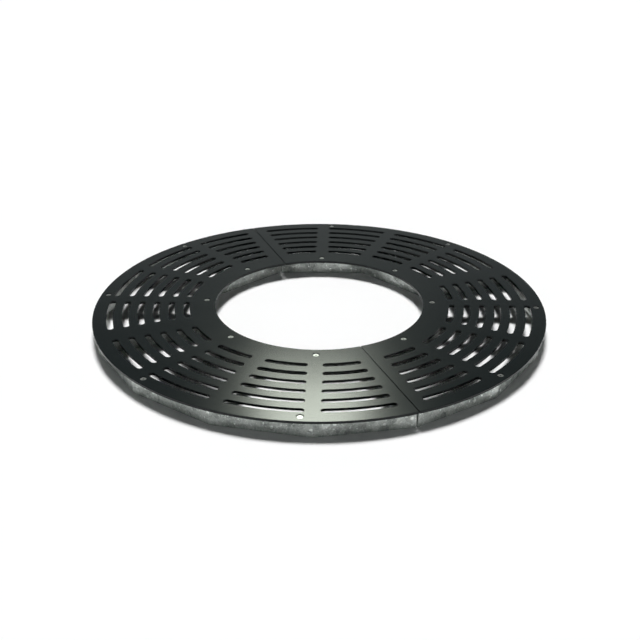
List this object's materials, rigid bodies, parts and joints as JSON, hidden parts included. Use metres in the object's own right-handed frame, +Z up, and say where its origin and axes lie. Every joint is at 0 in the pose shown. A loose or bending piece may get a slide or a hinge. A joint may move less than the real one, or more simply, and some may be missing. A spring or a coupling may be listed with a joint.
{
  "type": "tree grate",
  "caption": "Round tree grate of two slotted steel half plates screwed onto a galvanised frame of rectangular tube that is bolted at its seam, with a round opening for the trunk.",
  "frame": {"origin": "centre of the tree opening, on the surface that the frame stands on", "axes": "+Z up; the seam between the halves lies along Y; +X towards the middle of the right half"},
  "size_m": [1.4996, 1.5, 0.058],
  "materials": {
    "plate_black": "satin black powder coating on laser cut steel plate",
    "frame_galvanised": "hot-dip galvanised rectangular tube, mottled grey spangle",
    "screw_stainless": "bright stainless steel, fine turned",
    "bolt_zinc": "zinc plated, matt"
  },
  "bodies": {
    "root": {"grate_plate_right": "plate_black", "grate_plate_left": "plate_black", "outer_band_right": "frame_galvanised", "outer_band_left": "frame_galvanised", "inner_band_right": "frame_galvanised", "inner_band_left": "frame_galvanised", "middle_tube_right": "frame_galvanised", "middle_tube_left": "frame_galvanised", "seam_tube_right_front": "frame_galvanised", "seam_tube_right_back": "frame_galvanised", "seam_tube_left_front": "frame_galvanised", "seam_tube_left_back": "frame_galvanised", "end_caps_right": "frame_galvanised", "end_caps_left": "frame_galvanised", "outer_inserts_right": "bolt_zinc", "outer_inserts_left": "bolt_zinc", "inner_inserts_right": "bolt_zinc", "inner_inserts_left": "bolt_zinc", "outer_screws_right": "screw_stainless", "outer_screws_left": "screw_stainless", "inner_screws_right": "screw_stainless", "inner_screws_left": "screw_stainless", "seam_bolts": "bolt_zinc", "seam_nuts": "bolt_zinc", "seam_washers": "bolt_zinc", "seam_spacers": "bolt_zinc"}
  },
  "joints": []
}
